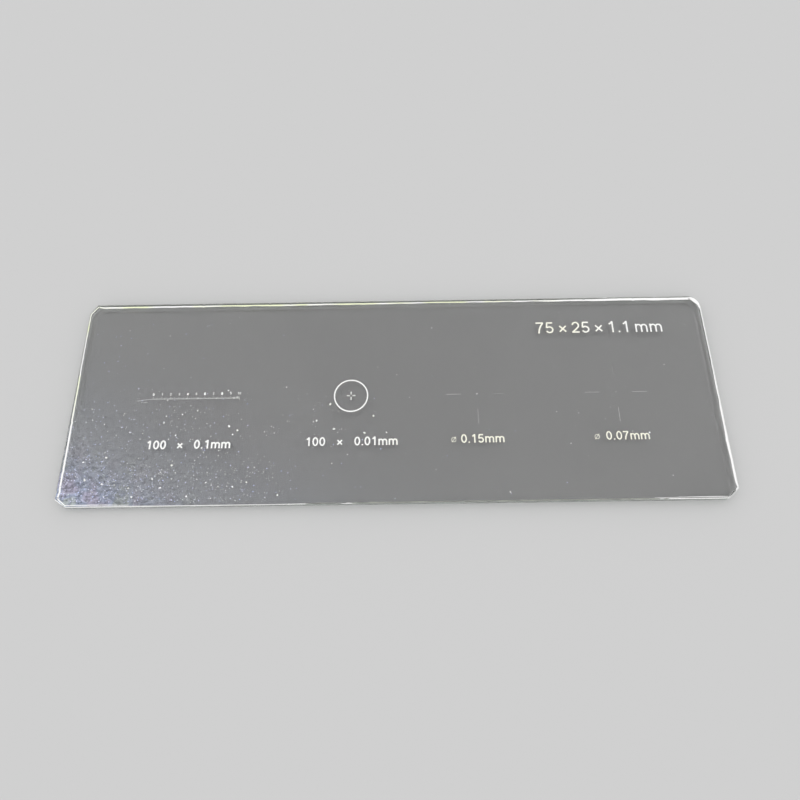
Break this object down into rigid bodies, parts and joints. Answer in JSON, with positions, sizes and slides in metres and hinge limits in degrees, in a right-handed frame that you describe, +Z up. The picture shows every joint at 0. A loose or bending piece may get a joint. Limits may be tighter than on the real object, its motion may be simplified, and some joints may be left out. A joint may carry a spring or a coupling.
{
  "type": "microscope slide",
  "caption": "Clear glass slide with clipped corners, ground edges, and fine measuring marks for setting up a microscope's scale.",
  "frame": {"origin": "middle of the underside of the glass, where the slide rests on a stage", "axes": "+X along the slide from the line scale's end to the small dot's end, +Y across it towards the edge that the lettering's tops face, +Z up out of the face that carries the marks"},
  "size_m": [0.075, 0.025, 0.0011],
  "materials": {
    "slide_glass": "polished",
    "white_film": "matte"
  },
  "bodies": {
    "root": {"glass_plate": "slide_glass", "line_scale": "white_film", "ring": "white_film", "crossed_scales": "white_film", "large_dot_target": "white_film", "small_dot_target": "white_film"}
  },
  "joints": []
}
